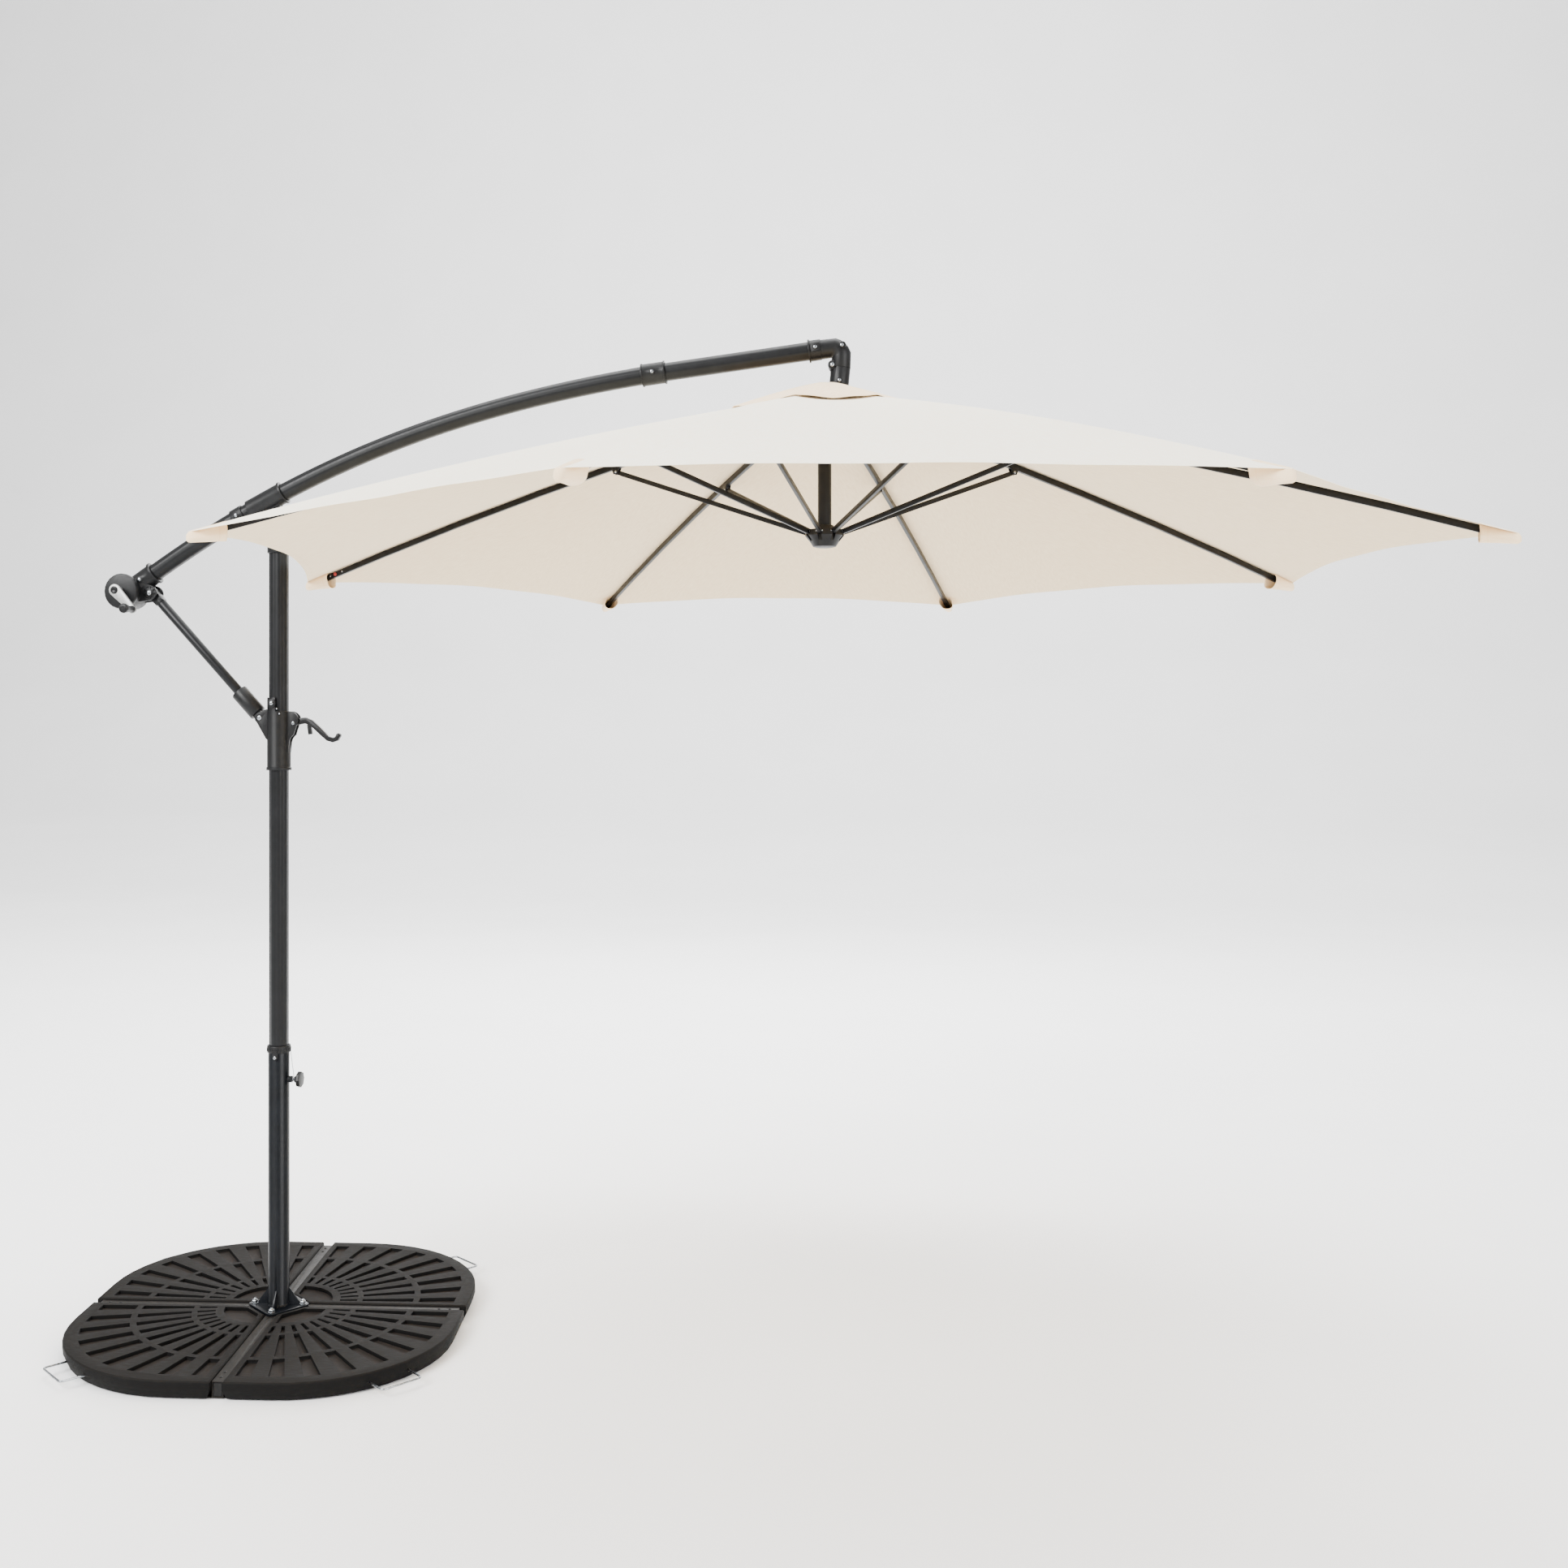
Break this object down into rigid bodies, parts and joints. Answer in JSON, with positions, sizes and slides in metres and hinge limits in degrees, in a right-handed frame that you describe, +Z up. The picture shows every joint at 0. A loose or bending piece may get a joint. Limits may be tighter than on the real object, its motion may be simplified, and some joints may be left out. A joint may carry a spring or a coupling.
{
  "type": "cantilever patio umbrella with base",
  "caption": "Cantilever patio umbrella: scalloped ivory canopy with vent cap hung from a curved crank-wound arm on a swivelling mast, on a cross base with fan-pattern weight plates.",
  "frame": {"origin": "on the ground under the mast's axis, in the plane of the base strips' undersides", "axes": "+Z up the mast, +X along the arm towards the canopy, +Y to the left of the arm seen from behind the mast"},
  "size_m": [3.3636, 2.9238, 2.4856],
  "materials": {
    "base_steel": "painted steel box section, brown-grey",
    "weighted_resin": "matt brown-black filled resin with a faint streaky grain",
    "bright_zinc": "bright zinc-plated steel",
    "pole_steel": "anthracite powder coat on steel",
    "frame_aluminium": "anthracite powder coat on aluminium",
    "black_nylon": "satin black moulded nylon",
    "silver_cast": "bead-blasted cast aluminium",
    "ivory_polyester": "plain-woven polyester, ivory outside, beige inside"
  },
  "bodies": {
    "base": {"base_cross": "base_steel", "lower_pole": "pole_steel", "mast_collar": "black_nylon", "knob_tether": "bright_zinc", "weight_plate_rear_right": "weighted_resin", "weight_plate_rear_left": "weighted_resin", "weight_plate_front_left": "weighted_resin", "weight_plate_front_right": "weighted_resin"},
    "handle_rear_right": {"plate_handle_rear_right": "bright_zinc"},
    "handle_rear_left": {"plate_handle_rear_left": "bright_zinc"},
    "handle_front_left": {"plate_handle_front_left": "bright_zinc"},
    "handle_front_right": {"plate_handle_front_right": "bright_zinc"},
    "lock_stud": {"lock_screw": "bright_zinc"},
    "knob": {"lock_knob": "black_nylon"},
    "mast": {"mast_tube": "frame_aluminium", "mast_top_fork": "black_nylon", "arm_pivot_bolt": "bright_zinc"},
    "slider": {"slider_bracket": "black_nylon", "strut_base_bolt": "bright_zinc"},
    "lever": {"lock_lever": "black_nylon"},
    "tail_strut": {"strut_socket": "black_nylon", "strut_tube": "frame_aluminium", "strut_eye": "black_nylon"},
    "arm": {"arm_rear_tube": "frame_aluminium", "arm_front_tube": "frame_aluminium", "arm_coupling": "black_nylon", "arm_pivot_sleeve": "black_nylon", "arm_stop_collar": "black_nylon", "crank_housing": "black_nylon", "crank_cover": "black_nylon", "strut_top_bolt": "bright_zinc", "arm_elbow": "black_nylon", "tilt_hinge_bolt": "bright_zinc"},
    "crank": {"winding_spool": "black_nylon", "crank_arm": "silver_cast"},
    "grip": {"crank_grip": "black_nylon"},
    "head": {"tilt_knuckle": "black_nylon", "crown_cover": "black_nylon", "crown_hub": "black_nylon", "canopy_post": "frame_aluminium", "canopy": "ivory_polyester", "vent_cap": "ivory_polyester"},
    "runner": {"runner_hub": "black_nylon", "runner_tube": "frame_aluminium"},
    "canopy_rib_1": {"rib_1": "frame_aluminium"},
    "canopy_strut_1": {"strut_1": "frame_aluminium"},
    "canopy_rib_2": {"rib_2": "frame_aluminium"},
    "canopy_strut_2": {"strut_2": "frame_aluminium"},
    "canopy_rib_3": {"rib_3": "frame_aluminium"},
    "canopy_strut_3": {"strut_3": "frame_aluminium"},
    "canopy_rib_4": {"rib_4": "frame_aluminium"},
    "canopy_strut_4": {"strut_4": "frame_aluminium"},
    "canopy_rib_5": {"rib_5": "frame_aluminium"},
    "canopy_strut_5": {"strut_5": "frame_aluminium"},
    "canopy_rib_6": {"rib_6": "frame_aluminium"},
    "canopy_strut_6": {"strut_6": "frame_aluminium"},
    "canopy_rib_7": {"rib_7": "frame_aluminium"},
    "canopy_strut_7": {"strut_7": "frame_aluminium"},
    "canopy_rib_8": {"rib_8": "frame_aluminium"},
    "canopy_strut_8": {"strut_8": "frame_aluminium"}
  },
  "joints": [
    {"name": "mast_swivel", "type": "hinge", "parent": "base", "child": "mast", "pos_m": [0, 0, 0.7], "axis": [0, 0, 1], "continuous": true},
    {"name": "handle_slide_rear_right", "type": "slide", "parent": "base", "child": "handle_rear_right", "axis": [0.6327, 0.7744, 0], "range_m": [-0.038, 0]},
    {"name": "handle_slide_rear_left", "type": "slide", "parent": "base", "child": "handle_rear_left", "axis": [-0.7744, 0.6327, 0], "range_m": [-0.038, 0]},
    {"name": "handle_slide_front_left", "type": "slide", "parent": "base", "child": "handle_front_left", "axis": [-0.6327, -0.7744, 0], "range_m": [-0.038, 0]},
    {"name": "handle_slide_front_right", "type": "slide", "parent": "base", "child": "handle_front_right", "axis": [0.7744, -0.6327, 0], "range_m": [-0.038, 0]},
    {"name": "lock_travel", "type": "slide", "parent": "base", "child": "lock_stud", "axis": [1, 0, 0], "range_m": [0, 0.006]},
    {"name": "knob_turn", "type": "hinge", "parent": "lock_stud", "child": "knob", "pos_m": [0, 0, 0.627], "axis": [1, 0, 0], "range_deg": [0, 1440]},
    {"name": "slider_travel", "type": "slide", "parent": "mast", "child": "slider", "axis": [0, 0, 1], "range_m": [-0.176, 0.019]},
    {"name": "lever_squeeze", "type": "hinge", "parent": "slider", "child": "lever", "pos_m": [0.043, 0, 1.546], "axis": [0, 1, 0], "range_deg": [0, 20], "stiffness_Nm_per_rad": 0.6, "springref_deg": -20.05},
    {"name": "strut_swing", "type": "hinge", "parent": "slider", "child": "tail_strut", "pos_m": [-0.046, 0, 1.56], "axis": [0, -1, 0], "range_deg": [-14, 1.5]},
    {"name": "arm_tilt", "type": "hinge", "parent": "mast", "child": "arm", "pos_m": [0, 0, 2.08], "axis": [0, -1, 0], "range_deg": [-2, 20]},
    {"name": "crank_spin", "type": "hinge", "parent": "arm", "child": "crank", "pos_m": [-0.412, 0, 1.889], "axis": [0, -1, 0], "range_deg": [0, 2882]},
    {"name": "grip_spin", "type": "hinge", "parent": "crank", "child": "grip", "pos_m": [-0.362, -0.08, 1.838], "axis": [0, 1, 0], "continuous": true},
    {"name": "canopy_tilt", "type": "hinge", "parent": "arm", "child": "head", "pos_m": [1.4247, 0, 2.418], "axis": [0, 1, 0], "range_deg": [0, 2.5]},
    {"name": "runner_slide", "type": "slide", "parent": "head", "child": "runner", "axis": [0, 0, -1], "range_m": [0, 0.741], "deforming": ["canopy"]},
    {"name": "rib_hinge_1", "type": "hinge", "parent": "head", "child": "canopy_rib_1", "pos_m": [1.4474, 0.0265, 2.33], "axis": [-0.5299, 0.848, 0], "range_deg": [0, 69.6]},
    {"name": "strut_hinge_1", "type": "hinge", "parent": "canopy_rib_1", "child": "canopy_strut_1", "pos_m": [1.87542, 0.29395, 2.19299], "axis": [-0.5299, 0.848, 0], "range_deg": [-134.4, 0]},
    {"name": "rib_hinge_2", "type": "hinge", "parent": "head", "child": "canopy_rib_2", "pos_m": [1.41625, 0.04872, 2.33], "axis": [-0.9744, 0.225, 0], "range_deg": [0, 69.6]},
    {"name": "strut_hinge_2", "type": "hinge", "parent": "canopy_rib_2", "child": "canopy_strut_2", "pos_m": [1.52978, 0.5405, 2.19299], "axis": [-0.9744, 0.225, 0], "range_deg": [-134.4, 0]},
    {"name": "rib_hinge_3", "type": "hinge", "parent": "head", "child": "canopy_rib_3", "pos_m": [1.3785, 0.0424, 2.33], "axis": [-0.848, -0.5299, 0], "range_deg": [0, 69.6]},
    {"name": "strut_hinge_3", "type": "hinge", "parent": "canopy_rib_3", "child": "canopy_strut_3", "pos_m": [1.11105, 0.47042, 2.19299], "axis": [-0.848, -0.5299, 0], "range_deg": [-134.4, 0]},
    {"name": "rib_hinge_4", "type": "hinge", "parent": "head", "child": "canopy_rib_4", "pos_m": [1.35628, 0.01125, 2.33], "axis": [-0.225, -0.9744, 0], "range_deg": [0, 69.6]},
    {"name": "strut_hinge_4", "type": "hinge", "parent": "canopy_rib_4", "child": "canopy_strut_4", "pos_m": [0.8645, 0.12478, 2.19299], "axis": [-0.225, -0.9744, 0], "range_deg": [-134.4, 0]},
    {"name": "rib_hinge_5", "type": "hinge", "parent": "head", "child": "canopy_rib_5", "pos_m": [1.3626, -0.0265, 2.33], "axis": [0.5299, -0.848, 0], "range_deg": [0, 69.6]},
    {"name": "strut_hinge_5", "type": "hinge", "parent": "canopy_rib_5", "child": "canopy_strut_5", "pos_m": [0.93458, -0.29395, 2.19299], "axis": [0.5299, -0.848, 0], "range_deg": [-134.4, 0]},
    {"name": "rib_hinge_6", "type": "hinge", "parent": "head", "child": "canopy_rib_6", "pos_m": [1.39375, -0.04872, 2.33], "axis": [0.9744, -0.225, 0], "range_deg": [0, 69.6]},
    {"name": "strut_hinge_6", "type": "hinge", "parent": "canopy_rib_6", "child": "canopy_strut_6", "pos_m": [1.28022, -0.5405, 2.19299], "axis": [0.9744, -0.225, 0], "range_deg": [-134.4, 0]},
    {"name": "rib_hinge_7", "type": "hinge", "parent": "head", "child": "canopy_rib_7", "pos_m": [1.4315, -0.0424, 2.33], "axis": [0.848, 0.5299, 0], "range_deg": [0, 69.6]},
    {"name": "strut_hinge_7", "type": "hinge", "parent": "canopy_rib_7", "child": "canopy_strut_7", "pos_m": [1.69895, -0.47042, 2.19299], "axis": [0.848, 0.5299, 0], "range_deg": [-134.4, 0]},
    {"name": "rib_hinge_8", "type": "hinge", "parent": "head", "child": "canopy_rib_8", "pos_m": [1.45372, -0.01125, 2.33], "axis": [0.225, 0.9744, 0], "range_deg": [0, 69.6]},
    {"name": "strut_hinge_8", "type": "hinge", "parent": "canopy_rib_8", "child": "canopy_strut_8", "pos_m": [1.9455, -0.12478, 2.19299], "axis": [0.225, 0.9744, 0], "range_deg": [-134.4, 0]}
  ],
  "couplings": [
    {"joint": "lock_travel", "follows": "knob_turn", "m_per_rad": 0.0002387},
    {"joint": "slider_travel", "follows": "arm_tilt", "m_per_rad": -0.498},
    {"joint": "strut_swing", "follows": "arm_tilt", "ratio": -0.688},
    {"joint": "crank_spin", "follows": "runner_slide", "rad_per_m": 67.8},
    {"joint": "rib_hinge_1", "follows": "runner_slide", "rad_per_m": 1.637},
    {"joint": "strut_hinge_1", "follows": "runner_slide", "rad_per_m": -3.163},
    {"joint": "rib_hinge_2", "follows": "runner_slide", "rad_per_m": 1.637},
    {"joint": "strut_hinge_2", "follows": "runner_slide", "rad_per_m": -3.163},
    {"joint": "rib_hinge_3", "follows": "runner_slide", "rad_per_m": 1.637},
    {"joint": "strut_hinge_3", "follows": "runner_slide", "rad_per_m": -3.163},
    {"joint": "rib_hinge_4", "follows": "runner_slide", "rad_per_m": 1.637},
    {"joint": "strut_hinge_4", "follows": "runner_slide", "rad_per_m": -3.163},
    {"joint": "rib_hinge_5", "follows": "runner_slide", "rad_per_m": 1.637},
    {"joint": "strut_hinge_5", "follows": "runner_slide", "rad_per_m": -3.163},
    {"joint": "rib_hinge_6", "follows": "runner_slide", "rad_per_m": 1.637},
    {"joint": "strut_hinge_6", "follows": "runner_slide", "rad_per_m": -3.163},
    {"joint": "rib_hinge_7", "follows": "runner_slide", "rad_per_m": 1.637},
    {"joint": "strut_hinge_7", "follows": "runner_slide", "rad_per_m": -3.163},
    {"joint": "rib_hinge_8", "follows": "runner_slide", "rad_per_m": 1.637},
    {"joint": "strut_hinge_8", "follows": "runner_slide", "rad_per_m": -3.163}
  ]
}
